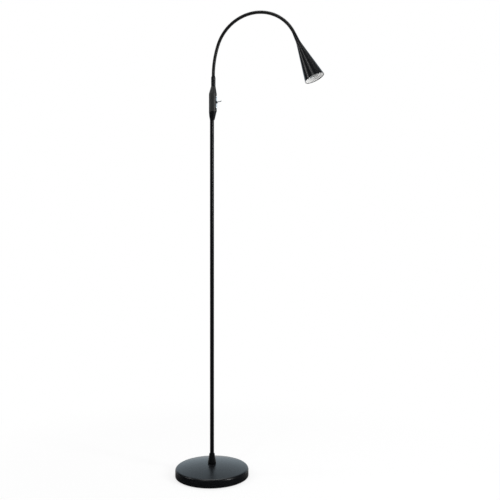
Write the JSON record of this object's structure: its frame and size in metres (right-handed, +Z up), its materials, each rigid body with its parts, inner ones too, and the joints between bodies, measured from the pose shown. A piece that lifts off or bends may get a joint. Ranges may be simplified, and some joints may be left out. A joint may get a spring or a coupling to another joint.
{
  "type": "floor lamp",
  "caption": "Reading floor lamp: slim pole on a round weighted base, toggle switch housing at its head, and a bendable gooseneck that holds a cone shade with a reflector bulb.",
  "frame": {"origin": "on the floor, under the middle of the round base", "axes": "+Z up along the pole, +X the side that the gooseneck and the switch face, +Y the side of the cable gland"},
  "size_m": [0.4711, 0.2318, 1.4474],
  "materials": {
    "satin_black": "satin black paint",
    "neck_black": "satin black jacket",
    "housing_black": "satin black",
    "plate_steel": "bright brushed",
    "switch_chrome": "polished",
    "nut_black": "blackened",
    "cast_iron": "as cast",
    "plated_steel": "zinc plated",
    "fitting_steel": "zinc plated",
    "pad_rubber": "matt",
    "black_plastic": "matt",
    "pale_plastic": "matt",
    "lead_sheath": "matt sheath",
    "wire_sleeve": "plain sleeve",
    "ceramic": "glazed ceramic, opaque",
    "bulb_mirror": "silvered inside",
    "bulb_glass": "clear",
    "pin_brass": "plain"
  },
  "bodies": {
    "stem": {"base_cover": "satin_black", "base_weight": "cast_iron", "base_plate": "plated_steel", "floor_pad": "pad_rubber", "base_screws": "plated_steel", "stem_stud": "fitting_steel", "stem_washer": "fitting_steel", "base_collar": "satin_black", "cable_gland": "black_plastic", "pole_lower": "satin_black", "pole_upper": "satin_black", "pole_inserts": "fitting_steel", "pole_spigot": "fitting_steel", "pole_head": "fitting_steel", "pipe_nuts": "fitting_steel", "lower_cap": "housing_black", "switch_housing": "housing_black", "upper_cap": "housing_black", "switch_plate": "plate_steel", "plate_screws": "switch_chrome", "toggle_body": "black_plastic", "toggle_bush": "switch_chrome", "toggle_nut": "nut_black", "terminal_block": "pale_plastic", "neck_ferrule": "satin_black", "neck_nipple": "fitting_steel", "mains_lead": "lead_sheath", "switch_wires": "wire_sleeve", "neck_tube_1": "neck_black", "neck_lead_1": "lead_sheath"},
    "neck_2": {"neck_tube_2": "neck_black", "neck_lead_2": "lead_sheath"},
    "neck_3": {"neck_tube_3": "neck_black", "neck_lead_3": "lead_sheath"},
    "neck_4": {"neck_tube_4": "neck_black", "neck_lead_4": "lead_sheath"},
    "neck_5": {"neck_tube_5": "neck_black", "neck_lead_5": "lead_sheath"},
    "neck_6": {"neck_tube_6": "neck_black", "neck_lead_6": "lead_sheath"},
    "neck_7": {"neck_tube_7": "neck_black", "neck_lead_7": "lead_sheath"},
    "neck_8": {"neck_tube_8": "neck_black", "neck_lead_8": "lead_sheath"},
    "shade": {"neck_tube_9": "neck_black", "neck_lead_9": "lead_sheath", "shade_shell": "satin_black", "head_nipple": "fitting_steel", "head_nut": "fitting_steel", "holder_cup": "plated_steel", "holder_screws": "plated_steel", "lampholder": "ceramic", "holder_wires": "wire_sleeve"},
    "bulb": {"bulb_base": "ceramic", "bulb_reflector": "bulb_mirror", "bulb_lens": "bulb_glass", "bulb_capsule": "bulb_glass", "bulb_pins": "pin_brass"},
    "toggle": {"toggle_lever": "switch_chrome"}
  },
  "joints": [
    {"name": "low_bend", "type": "hinge", "parent": "stem", "child": "neck_2", "pos_m": [0.0044, 0, 1.2585], "axis": [0, 1, 0], "range_deg": [-25, 12]},
    {"name": "low_side", "type": "hinge", "parent": "neck_2", "child": "neck_3", "pos_m": [0.00836, 0, 1.30638], "axis": [-0.9864, 0, 0.1642], "range_deg": [-22, 22]},
    {"name": "low_bend_2", "type": "hinge", "parent": "neck_3", "child": "neck_4", "pos_m": [0.02012, 0, 1.35295], "axis": [0, 1, 0], "range_deg": [-25, 12]},
    {"name": "low_bend_3", "type": "hinge", "parent": "neck_4", "child": "neck_5", "pos_m": [0.04657, 0, 1.39816], "axis": [0, 1, 0], "range_deg": [-25, 12]},
    {"name": "high_bend", "type": "hinge", "parent": "neck_5", "child": "neck_6", "pos_m": [0.08849, 0, 1.42955], "axis": [0, 1, 0], "range_deg": [-25, 12]},
    {"name": "high_side", "type": "hinge", "parent": "neck_6", "child": "neck_7", "pos_m": [0.13931, 0, 1.4422], "axis": [-0.0445, 0, 0.999], "range_deg": [-22, 22]},
    {"name": "high_bend_2", "type": "hinge", "parent": "neck_7", "child": "neck_8", "pos_m": [0.19106, 0, 1.43412], "axis": [0, 1, 0], "range_deg": [-25, 12]},
    {"name": "high_bend_3", "type": "hinge", "parent": "neck_8", "child": "shade", "pos_m": [0.23561, 0, 1.40658], "axis": [0, 1, 0], "range_deg": [-25, 12]},
    {"name": "bulb_twist", "type": "hinge", "parent": "shade", "child": "bulb", "pos_m": [0.26597, 0, 1.3639], "axis": [0.4067, 0, -0.9135], "range_deg": [0, 28]},
    {"name": "toggle", "type": "hinge", "parent": "stem", "child": "toggle", "pos_m": [0.0141, 0, 1.1745], "axis": [0, -1, 0], "range_deg": [-14, 0]}
  ],
  "couplings": [
    {"joint": "low_bend_2", "follows": "low_bend", "ratio": 1},
    {"joint": "low_bend_3", "follows": "low_bend", "ratio": 1},
    {"joint": "high_bend_2", "follows": "high_bend", "ratio": 1},
    {"joint": "high_bend_3", "follows": "high_bend", "ratio": 1}
  ]
}
